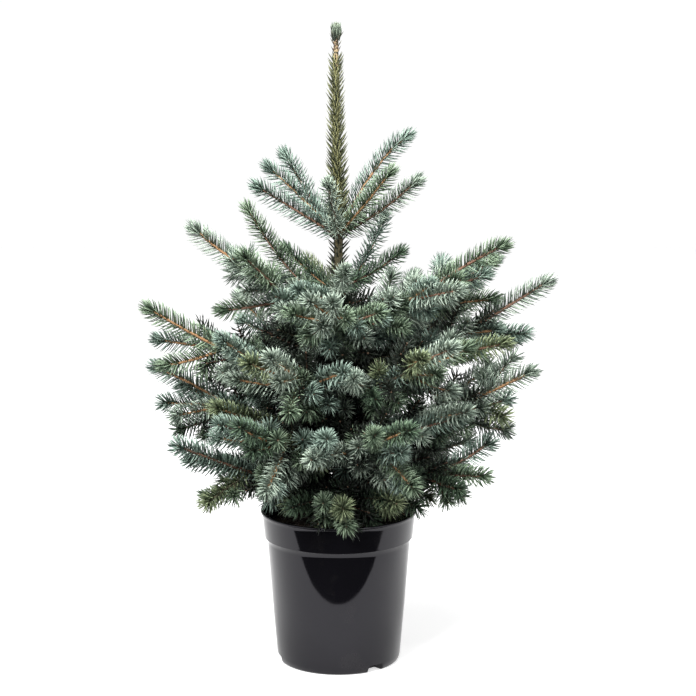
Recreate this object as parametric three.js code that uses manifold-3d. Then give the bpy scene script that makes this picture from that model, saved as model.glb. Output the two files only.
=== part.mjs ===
// A young blue spruce in a round nursery pot, in millimetres, +Z up.
// The origin is the centre of the pot's flat underside. -Y is the front.
// The trunk runs whole from the soil to the leader's tip. Boughs leave it in whorls, and each one
// ends where its fan of foliage begins. Shoots of the last two years carry needles from the trunk on.
import * as THREE from "three";
import { mergeVertices } from "three/addons/utils/BufferGeometryUtils.js";
import Module from "manifold-3d";

const wasm = await Module();
wasm.setup();

// ---------------------------------------------------------------- driving dimensions

const GAP = 0.3;                  // clearance between pieces that touch
const CUT_GAP = 0.5;              // growth of a piece that cuts its neighbour, facets included

const POT_HEIGHT = 236;
const RIM_RADIUS = 120;           // outer edge of the lip
const LIP_HEIGHT = 3.5;
const BAND_RADIUS = 118.5;        // rim band, just under the lip
const BAND_FOOT_RADIUS = 114.5;
const BAND_FOOT = 196;            // height of the band's lower edge
const SHOULDER_DROP = 7;
const BODY_RADIUS = 110.3;        // wall just under the shoulder
const HEEL_RADIUS = 95.3;         // wall just over the base
const HEEL_HEIGHT = 6;
const HEEL_CORNER = { inset: 1.5, height: 2 };
const BASE_RADIUS = 89.5;         // flat underside
const LEDGE_CORNER = { inset: 2, drop: 3 };
const LIP_ROUND = 1;
const MOUTH_RADIUS = 114.8;       // free of the wall at the lip, and over the soil
const MOUTH_FOOT_RADIUS = 112.8;
const WALL = 2.2;
const POT_FLOOR = 3;
const POT_SEGMENTS = 28;

// Drainage notches in the base's edge, each with its azimuth and width.
const NOTCHES = [[-53, 26], [67, 26], [182, 64]];
const NOTCH_HEIGHT = 11;
const NOTCH_INNER_RADIUS = 76;
const NOTCH_OVERRUN = 20;         // how far a notch's cut runs out past the wall
const NOTCH_SKIN = 2;

const SOIL_LEVEL = 212;
const SOIL_MOUND = 3;
const SOIL_CREST = 0.7;           // share of the soil's radius where the mound is highest
const SOIL_COLLAR = 30;           // flat soil round the trunk
const SOIL_CLEARANCE = 0.8;       // between the soil and the pot's wall

const TRUNK_TIP = 974;
const TRUNK_SIDES = 7;
// share of the trunk's height, and radius there: root flare, nodes, leader
const TRUNK_TAPER = [
  [0, 15], [0.03, 12], [0.08, 10.4], [0.22, 9.4], [0.4, 8], [0.55, 6.4],
  [0.62, 5.2], [0.7, 4.3], [0.88, 3.1], [0.975, 2.2], [1, 1.2],
];
const TRUNK_LEAN = [1.5, 1.5, -1, 0, -4, -3]; // the trunk's line in x, at even steps of its height

const LEADER_FOOT = 686;          // where the leader's needles begin
const LEADER_TIP = 977;
const LEADER_GIRTH = 14;
// share of the leader, and share of its girth: full sleeve, waist, tuft
const LEADER_SHAPE = [
  [0, 0.7], [0.15, 1.06], [0.5, 1], [0.7, 0.86],
  [0.86, 0.8], [0.9, 0.6], [0.95, 0.86], [1, 0.6],
];

// Shapes of needled bodies: [share of the path, share of the girth], foot to tip.
const SHOOT_SHAPE = [[0, 0.55], [0.4, 1], [0.85, 0.8], [1, 0.25]];
const FINGER_SHAPE = [[0, 0.8], [0.66, 0.95], [1, 0.3]];
const FAN_SHAPE = [[0, 0.75], [0.28, 1], [0.82, 0.5], [1, 0.13]];

const SHOOT_GIRTH = 17;           // radius of a needled shoot
const SHOOT_SIDES = 5;
const SHOOT_FOOT = 0.05;          // share of a young shoot inside the trunk's bark
const SHOOT_SAG = 3;
const FAN_SIDES = 6;
const FAN_GIRTH = 38;
const FAN_BREADTH = 0.9;          // how much wider than thick a fan is at its foot
const FAN_DROP = 0.3;             // share of its radius by which a fan hangs under its bough's line
const FINGER_GIRTH = 20;
const FINGER_SIDES = 4;
const BARE_SHARE = 0.22;          // share of a bough with no foliage
const BOUGH_FOOT = 0.01;          // share of a bough inside the trunk's bark
const BOUGH_END_GAP = 0.004;      // share of a bough left free before its fan
const BOUGH_TAPER = 0.72;
const BOUGH_SIDES = 4;
const UNEVEN = 0.12;

// Side growth of a fan: [share along the bough, turn, share of the bough's reach, lift of the slope].
// Every fan has a pair at its sides and one that hangs under the bough by its whorl's own reach and
// lift. A fan with no fingers of its own has the upper one as well.
const SIDE_FINGERS = [[0.3, 46, 0.58, 0.05], [0.32, -48, 0.58, -0.1]];
const UPPER_FINGER = [0.55, -30, 0.42, 0.12];
const HANGING_FINGER = { share: 0.3, turn: 6 };
const FINGER_SLOPE = 0.8;         // share of the bough's slope that its fingers take
const FINGER_VARIATION = { length: 0.1, turn: 14, lift: 0.2 };

// This year's whorl at the leader's foot: [azimuth, reach, rise, sag] of each shoot.
const TOP_WHORL_HEIGHT = 650;
const TOP_WHORL = [
  [131, 133, 130], [170, 112, 117], [193, 131, 91], [262, 121, 104],
  [324, 99, 117], [343, 129, 99, 8], [28, 126, 159, -12], [91, 112, 84],
];

// Slender shoots between the whorls: [height on the trunk, azimuth, reach, rise, sag].
const YOUNG_SHOOTS = [
  [545, 152, 162, 155, 75], [566, 140, 112, 72, 8], [560, 60, 151, 120, 85],
  [575, 35, 126, 54], [565, 276, 130, 62], [555, 248, 160, 46],
];

// Older boughs, whorl by whorl. Each has [height on the trunk, azimuth, reach, rise, own fingers].
const WHORLS = {
  upper: {
    left: [507, 185, 220, 172, [[0.34, -8, 0.5, -0.82]]],
    right: [500, 350, 256, 156, [[0.12, 14, 0.33, 0.69]]],
    right_rear: [490, 28, 285, 120],
    front: [500, 268, 200, 92],
    rear: [505, 104, 232, 88],
  },
  middle: {
    left: [398, 188, 293, 164, [[0.35, -10, 0.62, -0.16]]],
    right: [403, 1, 320, 192, [[0.4, -8, 0.5, -0.22]]],
    front_right: [405, 308, 268, 125],
    front_left: [410, 246, 248, 108],
    rear_right: [400, 52, 284, 130],
    rear_left: [405, 126, 284, 135],
  },
  lower: {
    left: [328, 178, 286, 136, [[0.35, 8, 0.62, -0.17], [0.3, 20, 0.62, -0.21]]],
    right: [325, 352, 297, 140, [[0.4, 10, 0.53, 0.3], [0.35, -12, 0.55, -0.17]]],
    front_right: [322, 292, 274, 98],
    front_left: [325, 238, 276, 95],
    rear: [328, 88, 286, 105],
  },
  skirt: {
    left: [268, 203, 250, 75, [[0.3, -20, 0.58, -0.38], [0.35, 12, 0.78, 0.18]]],
    right: [268, 334, 248, 50, [[0.35, 22, 0.63, 0.34]]],
    front: [262, 272, 168, 20],
    rear_right: [270, 40, 245, 55],
    rear_left: [266, 135, 240, 50],
  },
};
const BOUGH_RADIUS = { upper: 4.2, middle: 4.8, lower: 4.4, skirt: 3.6 };
const BOUGH_SAG = { upper: 4, middle: 14, lower: 18, skirt: 14 };
const HANG = { upper: [0.42, -0.35], middle: [0.6, -0.34], lower: [0.6, -0.38], skirt: [0.62, -0.25] };

const SEEDS = { leader: 2, top: 0, slender: 20, boughs: 40 };

// ---------------------------------------------------------------- finishes

function finish(colour, roughness) {
  return new THREE.MeshStandardMaterial({ color: colour, roughness, metalness: 0 });
}

const PLASTIC = () => finish(0x1c1b1e, 0.18);
const SOIL = () => finish(0x2a2019, 0.95);
const BARK = () => finish(0x6b513c, 0.85);
const LEADER_NEEDLES = () => finish(0x77775a, 0.7);
const NEEDLES = () => finish(0x6f8078, 0.7);

// ---------------------------------------------------------------- shaping helpers

const radians = THREE.MathUtils.degToRad;

/** A repeatable value from -0.5 to 0.5 for the given two numbers. */
function vary(seed, step) {
  const wave = Math.sin(seed * 12.9898 + step * 78.233) * 43758.5453;
  return wave - Math.floor(wave) - 0.5;
}

/** A closed mesh geometry as a solid. */
function solidOf(geometry) {
  const bare = geometry.clone();
  bare.deleteAttribute("normal");
  bare.deleteAttribute("uv");
  const merged = mergeVertices(bare);
  return new wasm.Manifold(new wasm.Mesh({
    numProp: 3,
    vertProperties: new Float32Array(merged.attributes.position.array),
    triVerts: new Uint32Array(merged.index.array),
  }));
}

/** A named mesh of a solid. */
function meshOf(name, solid, material) {
  const data = solid.getMesh();
  const geometry = new THREE.BufferGeometry();
  geometry.setAttribute("position", new THREE.BufferAttribute(data.vertProperties, 3));
  geometry.setIndex(new THREE.BufferAttribute(data.triVerts, 1));
  geometry.computeVertexNormals();
  const mesh = new THREE.Mesh(geometry, material);
  mesh.name = name;
  return mesh;
}

/** The path of a limb that leaves a point towards an azimuth and ends at a reach and a rise. */
function limbPath(start, azimuth, reach, rise, sag = 0) {
  const out = new THREE.Vector3(Math.cos(radians(azimuth)), Math.sin(radians(azimuth)), 0);
  const end = start.clone().addScaledVector(out, reach).setZ(start.z + rise);
  const middle = start.clone().lerp(end, 0.5);
  middle.z -= sag;
  return { curve: new THREE.QuadraticBezierCurve3(start.clone(), middle, end), out };
}

/** A shape as a profile of the path past its foot, at a girth. */
function stretched(shape, girth, foot = 0) {
  return shape.map(([share, width]) => [foot + (1 - foot) * share, width * girth]);
}

/** A profile's radius at a share of the path. */
function girthAt(profile, share) {
  return profile.find(([at]) => Math.abs(at - share) < 1e-6)[1];
}

/**
 * A round body along a path. The profile lists [share of the path, radius] from foot to tip, and
 * it closes on the path at both ends. Breadth widens its foot sideways, drop hangs it under the
 * path, and grow swells it all round.
 */
function along(path, profile, sides, options = {}) {
  const { breadth = 0, drop = 0, uneven = 0, seed = 0, grow = 0 } = options;
  const outline = [[profile[0][0], 0], ...profile, [profile.at(-1)[0], 0]]
    .map(([share, radius]) => new THREE.Vector2(radius, share));
  const geometry = new THREE.LatheGeometry(outline, sides);
  const sideways = new THREE.Vector3(path.out.y, -path.out.x, 0);
  const first = profile[0][0];
  const last = profile.at(-1)[0];
  const place = geometry.attributes.position;
  for (let i = 0; i < place.count; i += 1) {
    const share = place.getY(i);
    const across = place.getX(i);
    const over = place.getZ(i);
    const radius = Math.hypot(across, over);
    const turn = Math.atan2(over, across);
    const wave = 1 + uneven * Math.sin(2 * turn + 9 * share + seed) + uneven * vary(seed, share * 10);
    const swell = radius > 1e-6 ? wave + grow / radius : 0;
    const centre = path.curve.getPoint(share);
    const ahead = path.curve.getTangent(share);
    const up = new THREE.Vector3().crossVectors(sideways, ahead);
    const nudge = share === last ? grow : share === first ? -grow : 0;
    const wide = 1 + breadth * (1 - share);
    centre.addScaledVector(sideways, across * swell * wide);
    centre.addScaledVector(up, over * swell);
    centre.addScaledVector(ahead, nudge);
    centre.z -= drop * girthAt(profile, share);
    place.setXYZ(i, centre.x, centre.y, centre.z);
  }
  return geometry;
}

/** The largest part of a solid that cutting has left in pieces. */
function largest(solid) {
  const parts = solid.decompose();
  return parts.reduce((best, part) => (part.volume() > best.volume() ? part : best));
}

/** Whether two solids' bounding boxes meet. */
function near(a, b) {
  const one = a.boundingBox();
  const two = b.boundingBox();
  return [0, 1, 2].every((axis) => one.min[axis] <= two.max[axis] && two.min[axis] <= one.max[axis]);
}

// ---------------------------------------------------------------- pot and soil

/** A body of revolution about the vertical, from [radius, height] points. */
function turned(points, segments) {
  const outline = points.map(([radius, height]) => new THREE.Vector2(radius, height));
  return new THREE.LatheGeometry(outline, segments).rotateX(Math.PI / 2);
}

/** Blocks at the base's edge, one for each drainage notch. */
function notchBlocks(skin) {
  const length = HEEL_RADIUS + NOTCH_OVERRUN - NOTCH_INNER_RADIUS;
  return NOTCHES.map(([azimuth, width]) => {
    const block = new THREE.BoxGeometry(length + skin, width + 2 * skin, 2 * (NOTCH_HEIGHT + skin));
    block.translate(NOTCH_INNER_RADIUS - skin + (length + skin) / 2, 0, 0);
    block.rotateZ(radians(azimuth));
    return solidOf(block);
  });
}

function potSolid() {
  const outside = [
    [0, 0], [BASE_RADIUS, 0],
    [HEEL_RADIUS - HEEL_CORNER.inset, HEEL_CORNER.height], [HEEL_RADIUS, HEEL_HEIGHT],
    [BODY_RADIUS, BAND_FOOT - SHOULDER_DROP],
    [BAND_FOOT_RADIUS - LEDGE_CORNER.inset, BAND_FOOT - LEDGE_CORNER.drop],
    [BAND_FOOT_RADIUS, BAND_FOOT], [BAND_RADIUS, POT_HEIGHT - LIP_HEIGHT],
    [RIM_RADIUS, POT_HEIGHT - LIP_HEIGHT], [RIM_RADIUS, POT_HEIGHT - LIP_ROUND],
    [RIM_RADIUS - LIP_ROUND, POT_HEIGHT],
  ];
  const inside = [
    [BAND_RADIUS - WALL, POT_HEIGHT], [BAND_FOOT_RADIUS - WALL, BAND_FOOT],
    [BODY_RADIUS - WALL, BAND_FOOT - SHOULDER_DROP], [HEEL_RADIUS - WALL, POT_FLOOR + HEEL_HEIGHT],
    [HEEL_RADIUS - 2 * WALL, POT_FLOOR], [0, POT_FLOOR],
  ];
  const shell = solidOf(turned([...outside, ...inside], POT_SEGMENTS));
  const plug = solidOf(turned([...outside, [0, POT_HEIGHT]], POT_SEGMENTS));
  const housings = notchBlocks(NOTCH_SKIN).map((block) => block.intersect(plug));
  const notches = notchBlocks(0);
  const housed = housings.reduce((solid, housing) => solid.add(housing), shell);
  return notches.reduce((solid, notch) => solid.subtract(notch), housed);
}

/** The soil, clear of the pot's inner wall all round and flat round the trunk. */
function soilSolid() {
  const clear = WALL + SOIL_CLEARANCE;
  const topRadius = BAND_FOOT_RADIUS - clear;
  const fill = solidOf(turned([
    [0, POT_FLOOR + GAP], [HEEL_RADIUS - WALL - clear, POT_FLOOR + GAP],
    [HEEL_RADIUS - clear, POT_FLOOR + HEEL_HEIGHT + SOIL_CLEARANCE],
    [BODY_RADIUS - clear, BAND_FOOT - SHOULDER_DROP + SOIL_CLEARANCE],
    [topRadius, BAND_FOOT + SOIL_CLEARANCE], [topRadius, SOIL_LEVEL - SOIL_MOUND],
    [topRadius * SOIL_CREST, SOIL_LEVEL + SOIL_MOUND], [SOIL_COLLAR, SOIL_LEVEL], [0, SOIL_LEVEL],
  ], POT_SEGMENTS));
  return notchBlocks(NOTCH_SKIN + GAP).reduce((solid, block) => solid.subtract(block), fill);
}

/** The room that the pot and soil take up, which foliage keeps clear of. */
function planterRoom() {
  const overRim = POT_HEIGHT + CUT_GAP;
  const overSoil = SOIL_LEVEL + SOIL_MOUND + CUT_GAP;
  return solidOf(turned([
    [0, 0], [RIM_RADIUS + CUT_GAP, 0], [RIM_RADIUS + CUT_GAP, overRim],
    [MOUTH_RADIUS, overRim], [MOUTH_FOOT_RADIUS, overSoil], [0, overSoil],
  ], POT_SEGMENTS));
}

// ---------------------------------------------------------------- trunk and leader

const trunkFoot = SOIL_LEVEL + GAP;
const trunkHeight = TRUNK_TIP - trunkFoot;

// Even steps in height, so a share of the curve is a share of the height.
const trunkLine = {
  curve: new THREE.CatmullRomCurve3(
    TRUNK_LEAN.map((x, step) => (
      new THREE.Vector3(x, 0, trunkFoot + (trunkHeight * step) / (TRUNK_LEAN.length - 1))
    )),
    false,
    "catmullrom",
  ),
  out: new THREE.Vector3(0, -1, 0),
};

/** The trunk's centre at a height. */
function trunkAt(height) {
  return trunkLine.curve.getPoint(Math.min(1, (height - trunkFoot) / trunkHeight));
}

/** The trunk. Its line leaves the soil upright, so its foot is a level cut. */
function trunkSolid(grow = 0) {
  return solidOf(along(trunkLine, TRUNK_TAPER, TRUNK_SIDES, { grow }));
}

/** The sleeve of needles on the leader, with a waist under the bud at its tip. */
function leaderFoliage(grow) {
  const foot = trunkAt(LEADER_FOOT);
  const curve = new THREE.LineCurve3(foot, trunkAt(LEADER_TIP).setZ(LEADER_TIP));
  const profile = stretched(LEADER_SHAPE, LEADER_GIRTH);
  const path = { curve, out: new THREE.Vector3(0, -1, 0) };
  return solidOf(along(path, profile, FAN_SIDES, { uneven: UNEVEN / 2, seed: SEEDS.leader, grow }));
}

// ---------------------------------------------------------------- shoots, boughs and fans

function youngShoot([height, azimuth, reach, rise, sag = SHOOT_SAG], seed, grow) {
  const path = limbPath(trunkAt(height), azimuth, reach, rise, sag);
  const profile = stretched(SHOOT_SHAPE, SHOOT_GIRTH, SHOOT_FOOT);
  return solidOf(along(path, profile, SHOOT_SIDES, { uneven: UNEVEN, seed, grow }));
}

function boughPath([height, azimuth, reach, rise], sag) {
  return limbPath(trunkAt(height), azimuth, reach, rise, sag);
}

/** One tapering bough, from just inside the bark to the foot of its fan. */
function boughSolid(bough, sag, radius, grow) {
  const profile = [[BOUGH_FOOT, radius], [BARE_SHARE - BOUGH_END_GAP, radius * BOUGH_TAPER]];
  return solidOf(along(boughPath(bough, sag), profile, BOUGH_SIDES, { grow }));
}

/** The side, upper and hanging fingers of a whorl's fans, each varied a little by the fan's seed. */
function commonFingers(whorl, seed, withUpper) {
  const [hangLength, hangLift] = HANG[whorl];
  const hanging = [HANGING_FINGER.share, HANGING_FINGER.turn, hangLength, hangLift];
  const upper = withUpper ? [UPPER_FINGER] : [];
  return [...SIDE_FINGERS, ...upper, hanging].map(([share, turn, length, lift], i) => [
    share,
    turn + FINGER_VARIATION.turn * vary(seed, i + 10),
    length + FINGER_VARIATION.length * vary(seed, i),
    lift + FINGER_VARIATION.lift * vary(seed, i + 20),
  ]);
}

/** The fingers of a fan, each one a needled shoot with its own turn and slope. */
function fingerSolids(path, [, azimuth, reach, rise, own = []], whorl, seed, grow) {
  const fingers = [...commonFingers(whorl, seed, own.length === 0), ...own];
  return fingers.map(([share, turn, length, lift], i) => {
    const span = reach * length;
    const slope = FINGER_SLOPE * (rise / reach) + lift;
    const finger = limbPath(path.curve.getPoint(share), azimuth + turn, span, span * slope);
    const profile = stretched(FINGER_SHAPE, FINGER_GIRTH);
    return solidOf(along(finger, profile, FINGER_SIDES, { uneven: UNEVEN, seed: seed + i, grow }));
  });
}

/** A fan of foliage on the outer part of a bough, with its fingers. */
function fanSolid(bough, whorl, seed, grow) {
  const path = boughPath(bough, BOUGH_SAG[whorl]);
  const profile = stretched(FAN_SHAPE, FAN_GIRTH, BARE_SHARE);
  const options = { breadth: FAN_BREADTH, drop: FAN_DROP, uneven: UNEVEN, seed, grow };
  const core = solidOf(along(path, profile, FAN_SIDES, options));
  const fingers = fingerSolids(path, bough, whorl, seed, grow);
  return fingers.reduce((solid, finger) => solid.add(finger), core);
}

// ---------------------------------------------------------------- the plant

/** Every piece of foliage, in the order of cutting: a piece is cut round those before it. */
function foliagePieces() {
  const pieces = [];
  TOP_WHORL.forEach((shoot, i) => pieces.push({
    name: `top_shoot_${i + 1}`,
    make: (grow) => youngShoot([TOP_WHORL_HEIGHT, ...shoot], SEEDS.top + i, grow),
  }));
  YOUNG_SHOOTS.forEach((shoot, i) => pieces.push({
    name: `slender_shoot_${i + 1}`,
    make: (grow) => youngShoot(shoot, SEEDS.slender + i, grow),
  }));
  let seed = SEEDS.boughs;
  for (const [whorl, boughs] of Object.entries(WHORLS)) {
    for (const [place, bough] of Object.entries(boughs)) {
      const own = seed;
      pieces.push({
        name: `${whorl}_foliage_${place}`,
        make: (grow) => fanSolid(bough, whorl, own, grow),
      });
      seed += 1;
    }
  }
  return pieces;
}

function woodPieces() {
  return Object.entries(WHORLS).flatMap(([whorl, boughs]) => (
    Object.entries(boughs).map(([place, bough]) => ({
      name: `${whorl}_bough_${place}`,
      make: (grow) => boughSolid(bough, BOUGH_SAG[whorl], BOUGH_RADIUS[whorl], grow),
    }))
  ));
}

/** Cuts each piece round the cutters and the pieces before it, and adds it to the group. */
function addPieces(group, pieces, cutters, material) {
  for (const { name, make } of pieces) {
    const whole = make(0);
    const cut = cutters.filter((cutter) => near(whole, cutter))
      .reduce((solid, cutter) => solid.subtract(cutter), whole);
    group.add(meshOf(name, largest(cut), material()));
    cutters.push(make(CUT_GAP));
  }
}

const spruce = new THREE.Group();
spruce.add(meshOf("pot", potSolid(), PLASTIC()));
spruce.add(meshOf("soil", soilSolid(), SOIL()));
spruce.add(meshOf("trunk", trunkSolid(), BARK()));

const cutters = [planterRoom(), trunkSolid(CUT_GAP)];
addPieces(spruce, woodPieces(), cutters, BARK);
addPieces(spruce, [{ name: "leader_foliage", make: leaderFoliage }], cutters, LEADER_NEEDLES);
addPieces(spruce, foliagePieces(), cutters, NEEDLES);

export default spruce;
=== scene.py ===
# The looks of a young blue spruce in a black nursery pot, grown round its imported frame.
# Metres, +Z up, the front towards -Y.
import math
import random
from collections import namedtuple

import bpy
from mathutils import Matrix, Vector
from mathutils.bvhtree import BVHTree


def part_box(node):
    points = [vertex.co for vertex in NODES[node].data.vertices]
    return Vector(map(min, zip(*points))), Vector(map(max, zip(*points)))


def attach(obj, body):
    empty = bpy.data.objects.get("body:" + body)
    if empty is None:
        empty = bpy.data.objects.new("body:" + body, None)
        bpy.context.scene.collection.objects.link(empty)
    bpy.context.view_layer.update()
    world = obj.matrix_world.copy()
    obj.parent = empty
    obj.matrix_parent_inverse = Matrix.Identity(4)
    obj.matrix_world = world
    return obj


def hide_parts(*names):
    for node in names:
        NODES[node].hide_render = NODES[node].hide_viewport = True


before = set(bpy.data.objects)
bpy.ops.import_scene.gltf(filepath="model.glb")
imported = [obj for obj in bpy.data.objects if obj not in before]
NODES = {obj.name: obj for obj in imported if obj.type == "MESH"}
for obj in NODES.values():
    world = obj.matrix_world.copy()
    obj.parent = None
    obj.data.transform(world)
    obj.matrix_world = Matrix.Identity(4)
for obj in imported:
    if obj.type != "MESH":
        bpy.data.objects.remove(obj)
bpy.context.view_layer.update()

MM = 0.001
UP = Vector((0, 0, 1))
GOLDEN_ANGLE = math.radians(137.508)

# ---------------------------------------------------------------- what the frame says

Ring = namedtuple("Ring", "centre radius")


def corners(node):
    """A node's own corner points, each one once."""
    found = {tuple(round(c, 5) for c in v.co): v.co.copy() for v in NODES[node].data.vertices}
    return list(found.values())


def middle_of(points):
    return sum(points, Vector()) / len(points)


def end_of(points, foot, reach=8 * MM):
    """The middle of the corners round the one that lies furthest from a foot."""
    furthest = max(points, key=lambda p: (p - foot).length)
    return middle_of([p for p in points if (p - furthest).length < reach])


def trunk_rings(gap=4 * MM):
    """The trunk's rings from the soil up, each with its centre and radius."""
    levels = []
    for point in sorted(corners("trunk"), key=lambda p: p.z):
        if not levels or point.z - levels[-1][-1].z > gap:
            levels.append([])
        levels[-1].append(point)
    rings = []
    for level in levels:
        centre = middle_of(level)
        spokes = [(p - centre).length for p in level]
        rings.append(Ring(centre, max(spokes)))
    return rings


TRUNK = trunk_rings()


def trunk_at(height):
    """The trunk's centre and radius at a height."""
    for low, high in zip(TRUNK, TRUNK[1:]):
        if height <= high.centre.z:
            break
    share = (height - low.centre.z) / (high.centre.z - low.centre.z)
    share = min(1.0, max(0.0, share))
    return Ring(low.centre.lerp(high.centre, share), low.radius + (high.radius - low.radius) * share)


# ---------------------------------------------------------------- limbs

NEARLY_UPRIGHT = 0.12       # sine of the least angle to the vertical at which a heading has a side
ROOT_ROOM = 12 * MM         # round the corner of a bough nearest the trunk
END_OF_WOOD = 0.22          # share of a limb's way at which the solid of its wood ends
HALFWAY = (0.3, 0.58)       # shares of a shoot's chord between which its mass tells how it sags
FEWEST_CORNERS = 3          # it takes more corners there than this to tell
MOST_ARCH = 6 * MM
# how far below its chord a shoot's bend lies, where its mass is too slender to tell
OWN_SAG = {"top_shoot_7": -24 * MM, "slender_shoot_3": 26 * MM}


class Limb:
    """A smooth path from a foot past a bend to a tip."""

    def __init__(self, foot, bend, tip):
        self.foot = foot
        self.bend = bend
        self.tip = tip

    def at(self, share):
        left = 1 - share
        return self.foot * left * left + self.bend * 2 * share * left + self.tip * share * share

    def heading(self, share):
        ahead = (self.bend - self.foot) * (1 - share) + (self.tip - self.bend) * share
        return ahead.normalized()

    def length(self):
        round_the_bend = (self.bend - self.foot).length + (self.tip - self.bend).length
        return ((self.tip - self.foot).length + round_the_bend) / 2

    def cut(self, share):
        """The same limb up to a share of its way."""
        return Limb(self.foot, self.foot.lerp(self.bend, share), self.at(share))

    def part(self, first, last, step=7 * MM):
        """Points along a stretch of the limb."""
        count = max(3, round((self.at(last) - self.at(first)).length / step))
        return [self.at(first + (last - first) * i / count) for i in range(count + 1)]


def beside(heading):
    """The level direction square to a heading."""
    across = heading.cross(UP)
    return across.normalized() if across.length > NEARLY_UPRIGHT else Vector((1, 0, 0))


def outward(turn):
    """The level direction at a turn about the vertical."""
    return Vector((math.cos(turn), math.sin(turn), 0))


def bough_limb(bough, mass):
    """The line of a bough and of the mass on it: from the trunk, through the bough's end, to the tip."""
    axis = trunk_at(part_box(bough)[0].z).centre
    wood = corners(bough)
    nearest = min(wood, key=lambda p: (p.xy - axis.xy).length)
    root = middle_of([p for p in wood if (p - nearest).length < ROOT_ROOM])
    end = end_of(wood, root)
    out = end - root
    inward = (root.xy - trunk_at(root.z).centre.xy).length / max(out.xy.length, MM)
    foot = root - out * inward
    tip = end_of(corners(mass), foot)
    share = END_OF_WOOD
    bend = (end - foot * (1 - share) ** 2 - tip * share ** 2) / (2 * share * (1 - share))
    return Limb(foot, bend, tip)


def shoot_limb(node, girth=9 * MM):
    """The line of a slender shoot that leaves the trunk itself, sagging or arching as its mass does."""
    points = corners(node)
    root = trunk_at(min(p.z for p in points) + girth).centre
    tip = end_of(points, root)
    chord = tip - root
    shares = [((p - root).dot(chord) / chord.length_squared, p) for p in points]
    halfway = [(share, p) for share, p in shares if HALFWAY[0] < share < HALFWAY[1]]
    sag = 0
    if node in OWN_SAG:
        sag = OWN_SAG[node]
    elif len(halfway) > FEWEST_CORNERS:
        share = sum(s for s, _ in halfway) / len(halfway)
        off = middle_of([p for _, p in halfway]) - (root + chord * share)
        sag = max(-MOST_ARCH, -off.z) / (2 * share * (1 - share))
    return Limb(root, root.lerp(tip, 0.5) - UP * sag, tip)


# ---------------------------------------------------------------- growth

NEEDLE_REACH = 11 * MM      # how far the last needles stand past a shoot's end
THIS_YEAR = 0.4             # share of a bough that is this year's bare-sided shoot
# between the tips of neighbouring shoots, whorl by whorl
TIP_SPACING = {"upper": 37 * MM, "middle": 36 * MM, "lower": 33 * MM, "skirt": 31 * MM}
# how bare the near side of this year's shoots is, on the boughs and on their fingers
BARE_SIDES = {"upper": (0.95, 0.9), "middle": (0.95, 0.85), "lower": (0.75, 0.5), "skirt": (0.5, 0.3)}
POINTED_ABOVE = 450 * MM    # lower down, the ends of the shoots are open brushes
FINGER_SPACING = 32 * MM    # between the ends of a mass's own fingers
COVERED = 23 * MM           # a tip closer than this to another shoot is left out
BURIED = 24 * MM            # a tip closer than this to another mass is inside the crown
SHORTEST = 26 * MM
LONGEST = 140 * MM
PARENT = 72 * MM            # a side shoot longer than this has side shoots of its own
HUB_ROOM = 0.38             # share of a bough, from its middle, that holds no finger's end
MOST_FINGERS = 6
OLD_SHARE_OF_FINGER = 0.62
OLD_SHARE_OF_TWIG = 0.5
FINGERS_LEAVE = (0.08, 0.62)    # shares of a bough between which its fingers leave it
NATURAL_ANGLE = 0.8         # radians between a side shoot and the limb it leaves
WIDEST_ANGLE = 1.35
ANGLE_COST = 0.07           # what a radian off the natural angle weighs
SPAN_COST = 0.2             # what a metre of a side shoot's length weighs
BURIED_LEFT_OUT = 0.93      # share of the buried tips that aren't grown
BARE_SIDED = 0.4            # a shoot whose needles part more than this is this year's
SWAY = 0.035                # share of its reach by which a shoot wanders off its limb
TILT_SPREAD = 4             # degrees
TIP_TAPER = 0.62            # a stem's radius at its tip over that at its foot
STEM_RADIUS = {"bough": 2.8 * MM, "finger": 2.4 * MM, "top": 2.2 * MM, "slender": 1.7 * MM}
DEEP_SHOOTS = ("slender_shoot_2", "slender_shoot_4")
CUT_SHORT = {"upper_foliage_rear": 0.78}    # share of a bough that is grown, where not all of it
INSIDE_SHOOTS = 88
INSIDE_FOOT = 0.262         # height of the lowest inner shoot, in metres
INSIDE_RISE = 0.3
CROWN_SEED = 367
INSIDE_SEED = 77

# shares of the needles' tints above each height, in metres: paler and bluer high up, greener low down
TINT_SHARES = (
    (0.60, {"pale": 0.4, "blue": 0.26, "green": 0.2, "olive": 0.14}),
    (0.45, {"pale": 0.4, "blue": 0.34, "green": 0.2, "olive": 0.06}),
    (0.30, {"pale": 0.26, "blue": 0.35, "green": 0.3, "deep": 0.04, "olive": 0.05}),
    (0, {"blue": 0.06, "green": 0.44, "deep": 0.18, "olive": 0.32}),
)

# fingers of a mass, by rank, whose place stays open to the sky
OPEN_FINGERS = {
    "upper_foliage_left": (1,), "middle_foliage_left": (1, 4), "middle_foliage_right": (0,),
    "upper_foliage_right": (0,), "skirt_foliage_right": (1, 2),
}
OPEN_ROOM = 34 * MM         # round the end of such a finger

Shoot = namedtuple("Shoot", "points tint stem_tint girth foot_radius tip_radius tilt lift bare parting tufts")

shoots = []
old_wood = []


class Nearby:
    def __init__(self, cell):
        self.cell = cell
        self.boxes = {}

    def key(self, point):
        return tuple(math.floor(c / self.cell) for c in point)

    def add(self, points):
        for point in points:
            self.boxes.setdefault(self.key(point), []).append(point)

    def has(self, place, distance):
        x, y, z = self.key(place)
        around = ((x + i, y + j, z + k) for i in (-1, 0, 1) for j in (-1, 0, 1) for k in (-1, 0, 1))
        return any((p - place).length < distance for box in around for p in self.boxes.get(box, ()))


occupied = Nearby(COVERED)


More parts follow.
